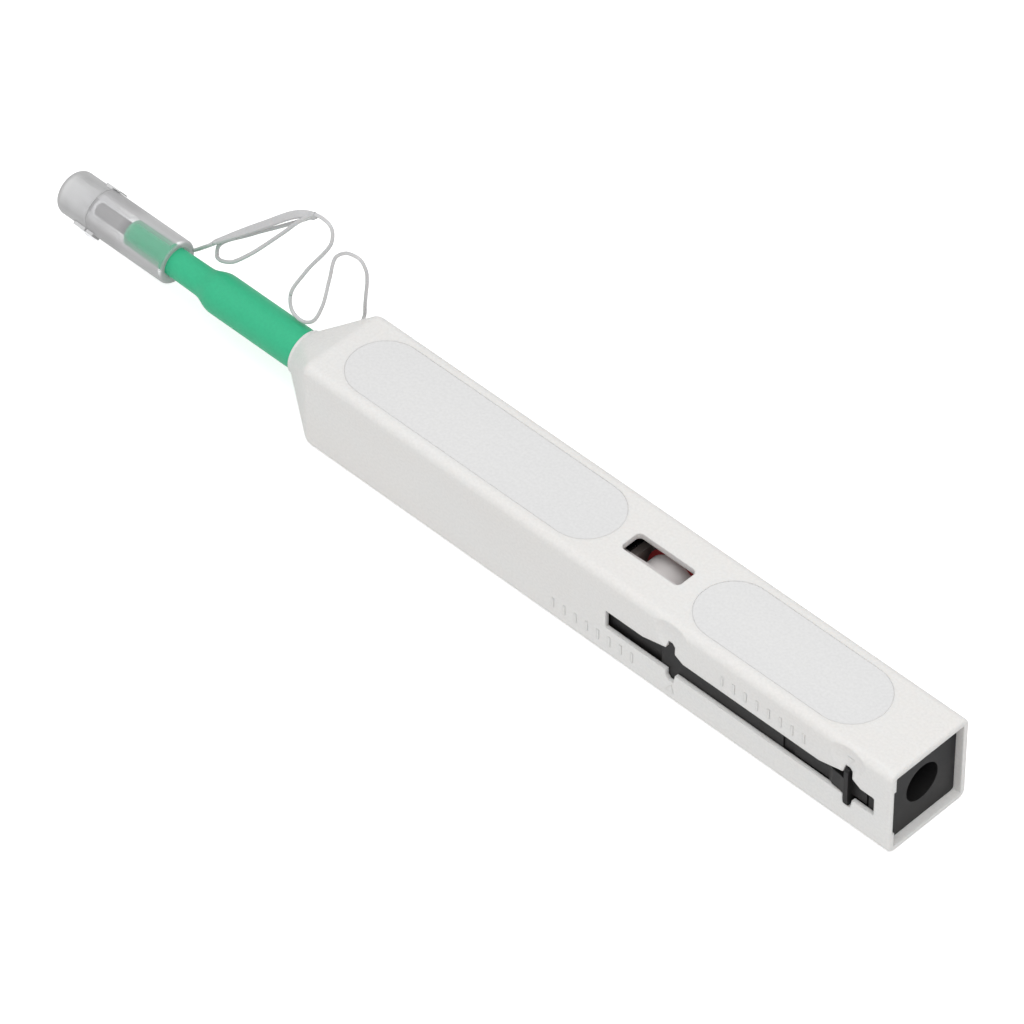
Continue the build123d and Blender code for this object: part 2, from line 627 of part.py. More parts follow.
with BuildPart() as nozzle_tube:
    with BuildSketch(Plane.XZ):
        with BuildLine():
            Polyline(
                ring_point(158.0, NECK_BORE_R),
                ring_point(154.0, TUBE_BORE_R),
                ring_point(TUBE_REAR, TUBE_BORE_R),
                ring_point(TUBE_REAR, TUBE_R),
                ring_point(SHOULDER_START, TUBE_R),
            )
            Spline(
                ring_point(SHOULDER_START, TUBE_R),
                ring_point(SHOULDER_END, NECK_R),
                tangents=[(-1, 0), (-1, 0)],
            )
            Polyline(
                ring_point(SHOULDER_END, NECK_R),
                ring_point(TUBE_FRONT - 0.3, NECK_TIP_R),
                ring_point(TUBE_FRONT, NECK_TIP_R - 0.3),
                ring_point(TUBE_FRONT, SLEEVE_R + 0.01),
                ring_point(SLEEVE_REAR - 0.05, SLEEVE_R + 0.01),
                ring_point(SLEEVE_REAR - 0.05, NECK_BORE_R),
                ring_point(158.0, NECK_BORE_R),
            )
        make_face()
    revolve(axis=AXIS_LINE)
finish(nozzle_tube, "nozzle_tube")

with BuildPart() as tip_sleeve:
    rod_x(SLEEVE_FRONT, SLEEVE_REAR, SLEEVE_R)
    fillet(tip_sleeve.edges().group_by(Axis.X)[0], 0.1)
    rod_x(SLEEVE_FRONT + 1, SLEEVE_REAR - 1, SLEEVE_BORE_R, mode=Mode.SUBTRACT)
finish(tip_sleeve, "tip_sleeve")

# =============================== cap, lid and strap ===============================
HINGE_DIR = (0, cos(radians(LID_HINGE_ANGLE)), sin(radians(LID_HINGE_ANGLE)))
LATCH_DIR = (0, -HINGE_DIR[1], -HINGE_DIR[2])


def lug(front, rear, inner, outer, width, direction):
    """A small rounded lug that stands out of the cap in a radial direction."""
    face = Plane(
        origin=(at((front + rear) / 2), direction[1] * inner, AXIS_Z + direction[2] * inner),
        x_dir=(1, 0, 0),
        z_dir=direction,
    )
    with BuildSketch(face) as outline:
        RectangleRounded(front - rear, width, 0.35)
    extrude(outline.sketch, amount=outer - inner)


with BuildPart() as guide_cap:
    with BuildSketch(Plane.XZ):
        with BuildLine():
            Polyline(
                ring_point(CAP_REAR + RIM_RADIUS, CAP_R),
                ring_point(CAP_SEAM, CAP_R),
                ring_point(CAP_SEAM, LID_BORE_R - 0.15),
                ring_point(CAP_SEAM + 0.5, LID_BORE_R - 0.25),
                ring_point(GUIDE_TIP, GUIDE_BORE_R + 0.55),
                ring_point(GUIDE_TIP, GUIDE_BORE_R + 0.2),
                ring_point(GUIDE_TIP - 0.3, GUIDE_BORE_R),
                ring_point(188.5, GUIDE_BORE_R),
                ring_point(188.0, 1.9),
                ring_point(181.0, 1.9),
                ring_point(180.3, CAP_BORE_R),
                ring_point(CAP_REAR + 0.25, CAP_BORE_R),
                ring_point(CAP_REAR, CAP_BORE_R + 0.25),
                ring_point(CAP_REAR, CAP_R - RIM_RADIUS),
            )
            RadiusArc(
                ring_point(CAP_REAR, CAP_R - RIM_RADIUS),
                ring_point(CAP_REAR + RIM_RADIUS, CAP_R),
                -RIM_RADIUS,
            )
        make_face()
    revolve(axis=AXIS_LINE)
    lug(CAP_SEAM - 0.05, CAP_SEAM - 1.7, CAP_R - 0.2, CAP_R + HINGE_PROUD, 3.0, HINGE_DIR)
finish(guide_cap, "guide_cap")

with BuildPart() as cap_lid:
    with BuildSketch(Plane.XZ):
        with BuildLine():
            Polyline(
                ring_point(CAP_TIP - LID_CORNER, CAP_R),
                ring_point(CAP_SEAM + 0.08, CAP_R),
                ring_point(CAP_SEAM + 0.08, LID_BORE_R),
                ring_point(CAP_TIP - LID_END_WALL - 0.7, LID_BORE_R),
                ring_point(CAP_TIP - LID_END_WALL, LID_BORE_R - 0.7),
                ring_point(CAP_TIP - LID_END_WALL, 0),
                ring_point(CAP_TIP, 0),
                ring_point(CAP_TIP, CAP_R - LID_CORNER),
            )
            RadiusArc(
                ring_point(CAP_TIP, CAP_R - LID_CORNER),
                ring_point(CAP_TIP - LID_CORNER, CAP_R),
                LID_CORNER,
            )
        make_face()
    revolve(axis=AXIS_LINE)
    lug(CAP_SEAM + 2.8, CAP_SEAM + 0.1, CAP_R - 0.2, CAP_R + HINGE_PROUD, 3.0, HINGE_DIR)
    # latch lip that reaches back over the cap
    lug(CAP_SEAM + 1.8, CAP_SEAM - 1.4, CAP_R + 0.06, CAP_R + LIP_PROUD, 3.0, LATCH_DIR)
    lug(CAP_SEAM + 1.8, CAP_SEAM + 0.15, CAP_R - 0.3, CAP_R + LIP_PROUD - 0.05, 3.0, LATCH_DIR)
finish(cap_lid, "cap_lid")

# Strap: leaves the cap's rim, doubles back in one narrow loop, drops to the nozzle in a second
# and runs over a third into the hole in the nose. Points are (station, side, height).
STRAP_PATH = [
    (169.2, 4.6, 8.6),
    (167.8, 4.55, 10.0),
    (165.8, 4.3, 12.1),
    (163.6, 3.95, 14.6),
    (153.6, 5.0, 24.2),
    (145.4, 6.1, 31.6),
    (142.6, 6.8, 32.6),
    (144.6, 7.1, 30.4),
    (150.1, 6.7, 25.4),
    (157.0, 5.9, 19.4),
    (163.8, 4.9, 12.9),
    (163.4, 4.1, 11.4),
    (159.0, 2.8, 13.9),
    (154.5, 2.9, 18.4),
    (147.6, 4.2, 27.0),
    (143.6, 4.9, 32.2),
    (140.2, 5.2, 35.4),
    (137.0, 5.2, 35.0),
    (136.6, 5.0, 32.0),
    (142.0, 4.1, 22.2),
    (144.6, 2.9, 16.0),
    (143.6, 2.2, 13.5),
    (141.0, 2.0, 13.0),
    (138.8, 2.3, 14.3),
    (137.4, 3.2, 18.0),
    (137.0, 4.6, 23.4),
    (136.2, 5.4, 28.4),
    (134.6, 6.0, 30.0),
    (132.8, 6.1, 30.7),
    (131.2, 6.2, 30.6),
    (130.3, 6.5, 28.7),
    (130.5, 6.9, 25.9),
    (131.6, 7.6, 21.4),
    (132.9, 8.6, 17.3),
    (133.4, 8.9, 14.6),
    (133.3, 8.0, 13.5),
    (133.2, 6.6, 13.4),
]
with BuildPart() as tether_strap:
    with BuildLine() as strap_line:
        Spline([(at(station), side, height) for station, side, height in STRAP_PATH])
    with BuildSketch(Plane(origin=strap_line.line @ 0, z_dir=strap_line.line % 0)):
        Circle(STRAP_R)
    sweep()
finish(tether_strap, "tether_strap")
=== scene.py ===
"""A push-to-clean pen round its CAD frame: materials, strap, springs, living hinge, floor and light."""
import math

import bpy
from mathutils import Matrix, Quaternion, Vector


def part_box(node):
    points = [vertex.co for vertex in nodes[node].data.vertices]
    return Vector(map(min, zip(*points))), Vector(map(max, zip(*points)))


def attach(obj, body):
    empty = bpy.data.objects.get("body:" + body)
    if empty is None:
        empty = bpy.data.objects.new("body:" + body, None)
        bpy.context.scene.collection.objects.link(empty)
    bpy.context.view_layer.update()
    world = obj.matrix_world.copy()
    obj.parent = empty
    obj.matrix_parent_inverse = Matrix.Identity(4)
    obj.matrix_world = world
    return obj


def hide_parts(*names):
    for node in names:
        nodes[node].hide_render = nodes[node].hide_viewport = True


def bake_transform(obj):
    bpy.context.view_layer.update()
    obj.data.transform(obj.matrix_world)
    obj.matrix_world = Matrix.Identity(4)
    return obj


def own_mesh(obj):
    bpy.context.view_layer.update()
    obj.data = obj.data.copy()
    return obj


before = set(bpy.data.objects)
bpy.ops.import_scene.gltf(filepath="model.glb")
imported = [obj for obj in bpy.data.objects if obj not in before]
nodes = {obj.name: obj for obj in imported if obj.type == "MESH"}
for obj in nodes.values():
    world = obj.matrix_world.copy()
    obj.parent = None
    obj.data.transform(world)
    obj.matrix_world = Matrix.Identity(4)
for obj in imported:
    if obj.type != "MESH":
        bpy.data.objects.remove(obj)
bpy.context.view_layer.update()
MM = 0.001

# The pen's long axis is X, with the nozzle towards -X. Stations are measured forwards from the rear rim.
REAR_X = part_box("casing")[1][0]
AXIS_HEIGHT = 9.0 * MM


def at(station):
    """X in metres of a station given in millimetres in front of the rear rim."""
    return REAR_X - station * MM


# ------------------------------------------------------------------ node helpers
MIX_FIRST, MIX_SECOND, MIX_RESULT = 6, 7, 2  # the colour sockets of a Mix node


class Tree:
    """A material's node tree, with short calls for the nodes this scene uses."""

    def __init__(self, name):
        self.material = bpy.data.materials.new(name)
        self.material.use_nodes = True
        self.nodes = self.material.node_tree.nodes
        self.links = self.material.node_tree.links
        self.nodes.clear()
        self.output = self.nodes.new("ShaderNodeOutputMaterial")
        self.place = self.nodes.new("ShaderNodeTexCoord").outputs["Object"]

    def link(self, source, target):
        self.links.new(source, target)

    def put(self, socket, value):
        """Connect a socket or set a plain value."""
        if isinstance(value, bpy.types.NodeSocket):
            self.links.new(value, socket)
        else:
            socket.default_value = value

    def noise(self, size_mm, detail=3.0, stretch=(1, 1, 1)):
        """Noise whose blobs are about size_mm across, stretched along the axes."""
        mapping = self.nodes.new("ShaderNodeMapping")
        self.link(self.place, mapping.inputs["Vector"])
        mapping.inputs["Scale"].default_value = [1 / s for s in stretch]
        node = self.nodes.new("ShaderNodeTexNoise")
        self.link(mapping.outputs["Vector"], node.inputs["Vector"])
        node.inputs["Scale"].default_value = 1 / (size_mm * MM)
        node.inputs["Detail"].default_value = detail
        return node.outputs["Fac"]

    def scale(self, value, low, high, start=0.0, end=1.0):
        """Map a value from start..end to low..high, and clamp it there."""
        node = self.nodes.new("ShaderNodeMapRange")
        self.put(node.inputs["Value"], value)
        node.inputs["From Min"].default_value = start
        node.inputs["From Max"].default_value = end
        node.inputs["To Min"].default_value = low
        node.inputs["To Max"].default_value = high
        return node.outputs["Result"]

    def math(self, operation, first, second=0.0):
        node = self.nodes.new("ShaderNodeMath")
        node.operation = operation
        self.put(node.inputs[0], first)
        self.put(node.inputs[1], second)
        return node.outputs[0]

    def mix(self, factor, first, second):
        node = self.nodes.new("ShaderNodeMix")
        node.data_type = "RGBA"
        self.put(node.inputs[0], factor)
        self.put(node.inputs[MIX_FIRST], first)
        self.put(node.inputs[MIX_SECOND], second)
        return node.outputs[MIX_RESULT]

    def shade(self, colour, factor):
        """A colour made lighter or darker by a factor."""
        node = self.nodes.new("ShaderNodeVectorMath")
        node.operation = "SCALE"
        self.link(colour, node.inputs[0])
        self.put(node.inputs["Scale"], factor)
        return node.outputs["Vector"]

    def along_pen(self, vector):
        """The X part of a vector, which points along the pen."""
        node = self.nodes.new("ShaderNodeSeparateXYZ")
        self.link(vector, node.inputs[0])
        return node.outputs["X"]

    def bump(self, height, depth_mm, normal=None):
        node = self.nodes.new("ShaderNodeBump")
        node.inputs["Strength"].default_value = 1.0
        node.inputs["Distance"].default_value = depth_mm * MM
        self.put(node.inputs["Height"], height)
        if normal is not None:
            self.link(normal, node.inputs["Normal"])
        return node.outputs["Normal"]

    def soft_edges(self, radius_mm):
        node = self.nodes.new("ShaderNodeBevel")
        node.samples = 4
        node.inputs["Radius"].default_value = radius_mm * MM
        return node.outputs["Normal"]

    def edge_mask(self, radius_mm, gain):
        """About 1 along sharp edges and 0 on flat faces."""
        bevel = self.soft_edges(radius_mm)
        geometry = self.nodes.new("ShaderNodeNewGeometry")
        dot = self.nodes.new("ShaderNodeVectorMath")
        dot.operation = "DOT_PRODUCT"
        self.link(bevel, dot.inputs[0])
        self.link(geometry.outputs["Normal"], dot.inputs[1])
        turned = self.math("SUBTRACT", 1.0, dot.outputs["Value"])
        return self.math("MINIMUM", self.math("MULTIPLY", turned, gain), 1.0)

    def principled(self, **values):
        node = self.nodes.new("ShaderNodeBsdfPrincipled")
        for key, value in values.items():
            self.put(node.inputs[key.replace("_", " ")], value)
        return node.outputs["BSDF"]

    def finish(self, shader):
        self.link(shader, self.output.inputs["Surface"])
        return self.material


def rgb(red, green, blue):
    return (red, green, blue, 1.0)


def plastic(name, colour, other, roughness, grain_mm=0.25, grain_depth=0.006, edge=0.3, soft=0.15,
            subsurface=0.0, specular=0.5):
    """Moulded plastic: broad colour drift, fine texture, duller patches and a painted highlight that lightens
    sharp edges.
    """
    t = Tree(name)
    drift = t.scale(t.noise(14.0, 2.0, (3, 1, 1)), 0.0, 1.0, 0.35, 0.65)
    base = t.mix(drift, rgb(*colour), rgb(*other))
    speckled = t.shade(base, t.scale(t.noise(0.5, 4.0), 0.96, 1.03, 0.3, 0.7))
    # painted highlight: the colour is lightened along sharp edges, as strongly as edge sets
    edge_highlight_mask = t.edge_mask(0.35, 2.0)
    lighter = [min(1.0, c + edge * (1 - c) * 0.5) for c in colour]
    coloured = t.mix(t.math("MULTIPLY", edge_highlight_mask, edge), speckled, rgb(*lighter))
    patches = t.scale(t.noise(6.0, 3.0), roughness - 0.06, roughness + 0.08)
    grain = t.bump(t.noise(grain_mm, 2.0), grain_depth, t.soft_edges(soft))
    shader = t.principled(Base_Color=coloured, Roughness=patches, Normal=grain, Specular_IOR_Level=specular,
                          Subsurface_Weight=subsurface, Subsurface_Radius=(1.0, 0.85, 0.75),
                          Subsurface_Scale=1.5 * MM)
    return t.finish(shader)


def metal(name, colour, roughness, brush=(12, 1, 1)):
    """Drawn or ground metal, with fine lines along its length."""
    t = Tree(name)
    lines = t.noise(0.12, 3.0, brush)
    tone = t.mix(lines, rgb(*[c * 0.82 for c in colour]), rgb(*colour))
    grain = t.bump(lines, 0.004)
    rough = t.scale(t.noise(2.0, 2.0), roughness - 0.08, roughness + 0.12)
    return t.finish(t.principled(Base_Color=tone, Roughness=rough, Metallic=1.0, Normal=grain))


def woven(name, colour, pitch_mm):
    """Fine woven tape: two crossed sets of threads with a little fuzz."""
    t = Tree(name)
    threads = []
    for direction in ("Y", "DIAGONAL"):
        wave = t.nodes.new("ShaderNodeTexWave")
        wave.wave_type = "BANDS"
        wave.bands_direction = direction
        wave.inputs["Scale"].default_value = 1 / (pitch_mm * MM) / 3
        wave.inputs["Distortion"].default_value = 0.6
        t.link(t.place, wave.inputs["Vector"])
        threads.append(wave.outputs["Fac"])
    weave = t.math("MULTIPLY", *threads)
    fuzz = t.noise(0.3, 5.0)
    tone = t.mix(weave, rgb(*[c * 0.8 for c in colour]), rgb(*colour))
    normal = t.bump(t.math("ADD", weave, fuzz), 0.03)
    return t.finish(t.principled(Base_Color=tone, Roughness=0.9, Normal=normal, Sheen_Weight=0.3))


INNER_CLEARNESS = 0.84  # of a surface seen through the outer wall
EXIT_CLEARNESS = 0.95  # of a surface seen from inside the plastic, and for light on its way in
SQUARE_ON = 0.19  # facing value up to which a wall counts as seen square on
GLANCING = 0.37  # facing value from which its edge share applies
CHANGE_HALF = 1.6  # half the length in mm over which the wall's clearness changes


def frosted(name, colour, rear_clear, front_clear, edge_share, change_at):
    """Milky translucent plastic, clearer where it is seen square on, with a change along the pen."""
    t = Tree(name)
    change = (at(change_at + CHANGE_HALF), at(change_at - CHANGE_HALF))
    wall = t.scale(t.along_pen(t.place), front_clear, rear_clear, *change)
    weight = t.nodes.new("ShaderNodeLayerWeight")
    weight.inputs["Blend"].default_value = 0.5
    facing = weight.outputs["Facing"]
    glance = t.scale(facing, 1.0, edge_share, SQUARE_ON, GLANCING)
    geometry = t.nodes.new("ShaderNodeNewGeometry")
    end_face = t.scale(t.along_pen(geometry.outputs["Normal"]), 1.0, 0.45, 0.55, 0.95)
    cloud = t.scale(t.noise(3.5, 2.0, (2, 1, 1)), -0.02, 0.02, 0.3, 0.7)
    outer = t.math("ADD", t.math("MULTIPLY", t.math("MULTIPLY", wall, glance), end_face), cloud)
    # the first surface carries most of the milkiness, so that the walls behind it stay faint
    path = t.nodes.new("ShaderNodeLightPath")
    inside = t.scale(path.outputs["Transparent Depth"], 0.0, 1.0, 0.3, 0.7)
    behind = t.math("ADD", outer, t.math("MULTIPLY", inside, t.math("SUBTRACT", INNER_CLEARNESS, outer)))
    leaving = t.math("MAXIMUM", geometry.outputs["Backfacing"], path.outputs["Is Shadow Ray"])
    see = t.math("ADD", behind, t.math("MULTIPLY", leaving, t.math("SUBTRACT", EXIT_CLEARNESS, behind)))
    drift = t.mix(t.noise(4.0, 3.0), rgb(*colour), rgb(*[c * 0.96 for c in colour]))
    # painted shade: the milk colour is lightened where the wall is seen square on and darkened where it is
    # seen at a glance
    milk = t.principled(Base_Color=t.shade(drift, t.scale(facing, 1.14, 0.89, 0.2, 0.45)),
                        Normal=t.bump(t.noise(0.6, 2.0), 0.003),
                        Roughness=t.scale(t.noise(2.0), 0.36, 0.50),
                        Specular_IOR_Level=t.scale(inside, 0.4, 0.02))
    glass = t.nodes.new("ShaderNodeBsdfTransparent")
    glass.inputs["Color"].default_value = rgb(0.985, 0.988, 0.992)
    blend = t.nodes.new("ShaderNodeMixShader")
    t.put(blend.inputs[0], see)
    t.link(milk, blend.inputs[1])
    t.link(glass.outputs[0], blend.inputs[2])
    return t.finish(blend.outputs[0])


WHITE = plastic("satin_white_plastic", (0.845, 0.83, 0.81), (0.85, 0.845, 0.83), 0.42,
                grain_depth=0.002, edge=0.5, soft=0.35, subsurface=0.15, specular=0.4)
LABEL = plastic("pale_film", (0.785, 0.785, 0.785), (0.80, 0.798, 0.796), 0.38,
                grain_mm=0.12, grain_depth=0.002, edge=0.2, soft=0.2, specular=0.4)
BLACK = plastic("satin_black_plastic", (0.010, 0.010, 0.012), (0.015, 0.0145, 0.0145), 0.46,
                grain_depth=0.006, edge=0.12, soft=0.12, specular=0.32)
DARK = plastic("warm_grey_plastic", (0.25, 0.215, 0.20), (0.29, 0.255, 0.24), 0.5, edge=0.15)
NATURAL = plastic("natural_acetal", (0.80, 0.78, 0.72), (0.76, 0.735, 0.68), 0.4, edge=0.2, subsurface=0.1)
RED = plastic("red_plastic", (0.50, 0.035, 0.04), (0.58, 0.06, 0.06), 0.32, edge=0.3)
GREEN = plastic("green_plastic", (0.037, 0.495, 0.252), (0.046, 0.535, 0.282), 0.4,
                grain_depth=0.003, edge=0.2, soft=0.2, subsurface=0.1, specular=0.35)
TIP = metal("dark_tube", (0.20, 0.20, 0.21), 0.45)
STEEL = metal("ground_steel", (0.62, 0.62, 0.64), 0.28, (1, 12, 1))
WIRE = metal("drawn_wire", (0.5, 0.5, 0.52), 0.32)
TAPE = woven("micro_fibre_tape", (0.90, 0.86, 0.85), 0.12)
FELT = woven("pressed_felt", (0.5, 0.47, 0.42), 0.4)
CLEAR = frosted("frosted_cap_plastic", (0.475, 0.47, 0.475), rear_clear=0.76, front_clear=0.30,
                edge_share=0.18, change_at=178.6)
LID_CLEAR = frosted("frosted_lid_plastic", (0.455, 0.453, 0.455), rear_clear=0.24, front_clear=0.22,
                    edge_share=0.5, change_at=192.5)
STRAP = plastic("strap_plastic", (0.60, 0.60, 0.61), (0.64, 0.64, 0.645), 0.35,
                grain_depth=0.003, edge=0.6, soft=0.1, subsurface=0.2)

MATERIAL_OF = {
    "casing": WHITE, "front_label": LABEL, "rear_label": LABEL, "slider_base": BLACK, "lock_lever": BLACK,
    "guide_pin": STEEL, "carriage_frame": DARK, "carriage_cover": DARK, "reel_axles": STEEL,
    "friction_washer": FELT, "supply_reel": RED, "take_up_reel": RED, "supply_tape_roll": TAPE,
    "take_up_tape_roll": TAPE, "drive_gear": NATURAL, "ratchet_pawl": WIRE, "spring_rod": STEEL,
    "return_spring": WIRE, "cam_shaft": NATURAL, "cleaning_head": NATURAL, "head_spring": WIRE,
    "cleaning_tape": TAPE, "nozzle_tube": GREEN, "tip_sleeve": TIP, "guide_cap": CLEAR, "cap_lid": LID_CLEAR,
    "tether_strap": STRAP,
}
for name, material in MATERIAL_OF.items():
    slots = nodes[name].material_slots
    if not slots:
        nodes[name].data.materials.append(material)
    for material_slot in slots:
        material_slot.material = material


def closed_faces(rows, around):
    """Faces of a closed tube made of rows + 1 rings of points."""
    faces = [[around * row + k, around * row + (k + 1) % around, around * (row + 1) + (k + 1) % around,
              around * (row + 1) + k] for row in range(rows) for k in range(around)]
    faces.append(list(range(around))[::-1])
    faces.append([around * rows + k for k in range(around)])
    return faces


def add_piece(name, verts, faces, material, smooth=True):
    """A mesh of its own that is in the picture only."""
    mesh = bpy.data.meshes.new(name)
    mesh.from_pydata(verts, [], faces)
    mesh.validate()
    if smooth:
        mesh.polygons.foreach_set("use_smooth", [True] * len(mesh.polygons))
    mesh.materials.append(material)
    piece = bpy.data.objects.new(name, mesh)
    bpy.context.scene.collection.objects.link(piece)
    return piece


# ------------------------------------------------------------------ the strap
# A flat ribbon that hangs in loops between the cap's rim and the nose: (station, side, height) in mm.
STRAP_PATH = [
    (169.2, 4.6, 8.6), (167.8, 4.55, 10.0), (165.8, 4.3, 12.1), (163.6, 3.95, 14.6), (153.6, 5.0, 24.2),
    (145.4, 6.1, 31.6), (142.6, 6.8, 32.6), (144.6, 7.1, 30.4), (150.1, 6.7, 25.4), (157.0, 5.9, 19.4),
    (163.8, 4.9, 12.9), (163.4, 4.1, 11.4), (159.0, 2.8, 13.9), (154.5, 2.9, 18.4), (147.6, 4.2, 27.0),
    (143.6, 4.9, 32.2), (140.2, 5.2, 35.4), (137.0, 5.2, 35.0), (136.6, 5.0, 32.0), (142.0, 4.1, 22.2),
    (144.6, 2.9, 16.0), (143.6, 2.2, 13.5), (141.0, 2.0, 13.0), (138.8, 2.3, 14.3), (137.4, 3.2, 18.0),
    (137.0, 4.6, 23.4), (136.2, 5.4, 28.4), (134.6, 6.0, 30.0), (132.8, 6.1, 30.7), (131.2, 6.2, 30.6),
    (130.3, 6.5, 28.7), (130.5, 6.9, 25.9), (131.6, 7.6, 21.4), (132.9, 8.6, 17.3), (133.4, 8.9, 14.6),
    (133.3, 8.0, 13.5), (133.2, 6.6, 13.4),
]
STRAP_WIDTH = 1.5 * MM
NARROW_WIDTH = 0.75 * MM  # of the last loop, which the long extension stretches the most
NARROWING = (16.5, 20.0)  # path points between which the strap narrows
STRAP_THICK = 0.62 * MM
CORNER_SHARE = 0.36  # corner radius of the ribbon's section, as a share of its thickness
CORNER_STEPS = 4
STEPS = 14  # samples between two path points
WIDE_WAY = Vector((0.488, -0.497, 0.718))  # the ribbon's broad direction, square to the loops
TWIST = {3: 25.0, 4: 62.0, 5: 70.0, 6: 40.0}  # degrees at a few path points, where the broad face turns over


def spline(points, steps):
    """Smooth curve through points (centripetal Catmull-Rom); returns (point, path parameter) pairs."""
    ends = [2 * points[0] - points[1]] + points + [2 * points[-1] - points[-2]]
    samples = []
    for i in range(1, len(ends) - 2):
        p = ends[i - 1:i + 3]
        knots = [0.0]
        for a, b in zip(p, p[1:]):
            knots.append(knots[-1] + math.sqrt((b - a).length))
        for k in range(steps):
            u = knots[1] + (knots[2] - knots[1]) * k / steps
            a1 = p[0].lerp(p[1], (u - knots[0]) / (knots[1] - knots[0]))
            a2 = p[1].lerp(p[2], (u - knots[1]) / (knots[2] - knots[1]))
            a3 = p[2].lerp(p[3], (u - knots[2]) / (knots[3] - knots[2]))
            b1 = a1.lerp(a2, (u - knots[0]) / (knots[2] - knots[0]))
            b2 = a2.lerp(a3, (u - knots[1]) / (knots[3] - knots[1]))
            samples.append((b1.lerp(b2, (u - knots[1]) / (knots[2] - knots[1])), i - 1 + k / steps))
    samples.append((points[-1], len(points) - 1.0))
    return samples


def twist_at(parameter):
    """Turn of the ribbon in degrees, eased between path points."""
    low = math.floor(parameter)
    share = parameter - low
    share = share * share * (3 - 2 * share)
    return (1 - share) * TWIST.get(low, 0.0) + share * TWIST.get(low + 1, 0.0)


def width_at(parameter):
    """Width of the ribbon, which narrows towards the nose."""
    share = min(1.0, max(0.0, (parameter - NARROWING[0]) / (NARROWING[1] - NARROWING[0])))
    return STRAP_WIDTH + (NARROW_WIDTH - STRAP_WIDTH) * share


def section(width, thick):
    """Rounded rectangle, as (across, through) pairs."""
    ring = []
    corner = thick * CORNER_SHARE
    for sign_w, sign_t, start in ((1, 1, 0), (-1, 1, 90), (-1, -1, 180), (1, -1, 270)):
        for step in range(CORNER_STEPS):
            angle = math.radians(start + 90 * step / (CORNER_STEPS - 1))
            ring.append((sign_w * (width / 2 - corner) + corner * math.cos(angle),
                         sign_t * (thick / 2 - corner) + corner * math.sin(angle)))
    return ring


STRAP_POINTS = [Vector((at(s), y * MM, z * MM)) for s, y, z in STRAP_PATH]
STRAP_SAMPLES = spline(STRAP_POINTS, STEPS)


def strap_piece(name, first, last):
    """The part of the ribbon between two path points, as one closed mesh."""
    chosen = [i for i, (_, t) in enumerate(STRAP_SAMPLES) if first <= t <= last]
    verts = []
    for i in chosen:
        centre, parameter = STRAP_SAMPLES[i]
        before = STRAP_SAMPLES[max(i - 1, 0)][0]
        after = STRAP_SAMPLES[min(i + 1, len(STRAP_SAMPLES) - 1)][0]
        tangent = (after - before).normalized()
        across = WIDE_WAY - tangent * WIDE_WAY.dot(tangent)
        across.normalize()
        across.rotate(Quaternion(tangent, math.radians(twist_at(parameter))))
        through = tangent.cross(across)
        ring = section(width_at(parameter), STRAP_THICK)
        verts += [centre + across * w + through * t for w, t in ring]
    return add_piece(name, verts, closed_faces(len(chosen) - 1, 4 * CORNER_STEPS), STRAP)


def bend(piece):
    """Bake the piece's placement into its mesh; it is not made to follow any body."""
    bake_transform(piece)


# The strap joins the sleeve to the cap over three joints; it is made in four stretches, and only the third is
# attached to a body, the sled.
bend(strap_piece("strap_pull", 0, 3))
bend(strap_piece("strap_loop", 3, 16))
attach(strap_piece("strap_rise", 16, 20), "sled")
nose_loop = strap_piece("strap_nose_loop", 20, len(STRAP_PATH) - 1)
bend(nose_loop)
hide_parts("tether_strap")


# ------------------------------------------------------------------ springs and the lid's living hinge
def coil(name, node, front, rear, mean_radius, wire_radius, turns):
    """A wire helix along the pen's axis, in place of a CAD spring, attached to the carriage."""
    around, across = 24, 8
    length = (front - rear) * MM - 2 * wire_radius * MM
    rows = turns * around
    verts = []
    for row in range(rows + 1):
        angle = 2 * math.pi * row / around
        outward = Vector((0, -math.sin(angle), math.cos(angle)))
        middle = Vector((at(front) + wire_radius * MM + length * row / rows, 0, AXIS_HEIGHT))
        centre = middle + mean_radius * MM * outward
        for k in range(across):
            turn = 2 * math.pi * k / across
            spoke = outward * math.cos(turn) + Vector((math.sin(turn), 0, 0))
            verts.append(centre + wire_radius * MM * spoke)
    piece = add_piece(name, verts, closed_faces(rows, across), WIRE)
    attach(piece, "carriage")
    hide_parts(node)
    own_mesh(piece)


coil("return_spring_coil", "return_spring", front=32.5, rear=12.1, mean_radius=2.6, wire_radius=0.3, turns=9)
coil("head_spring_coil", "head_spring", front=178.95, rear=176.55, mean_radius=0.45, wire_radius=0.07, turns=6)

HINGE_ANGLE = math.radians(215.0)  # where the hinge sits round the cap, from +Y towards +Z
HINGE_OUT = Vector((0, math.cos(HINGE_ANGLE), math.sin(HINGE_ANGLE)))
HINGE_ALONG = Vector((1, 0, 0)).cross(HINGE_OUT)
HINGE_AT = 186.85
HINGE_ROWS = 24


def hinge_strip(name, half_length, half_width, inner, outer):
    """A thin flexible strip over the cap's seam, with many rows along the pen."""
    verts = []
    for row in range(HINGE_ROWS + 1):
        share = 2 * row / HINGE_ROWS - 1
        taper = 1 - 0.25 * abs(share) ** 3
        thin = inner + (outer - inner) * (0.45 + 0.55 * min(1.0, 1.6 * abs(share)))
        centre = Vector((at(HINGE_AT) + share * half_length * MM, 0, AXIS_HEIGHT))
        for side, level in ((-1, inner), (1, inner), (1, thin), (-1, thin)):
            verts.append(centre + HINGE_OUT * level * MM + HINGE_ALONG * side * half_width * taper * MM)
    return add_piece(name, verts, closed_faces(HINGE_ROWS, 4), LID_CLEAR, smooth=False)


strip = hinge_strip("lid_living_hinge", half_length=1.5, half_width=1.2, inner=4.52, outer=4.95)
bend(strip)

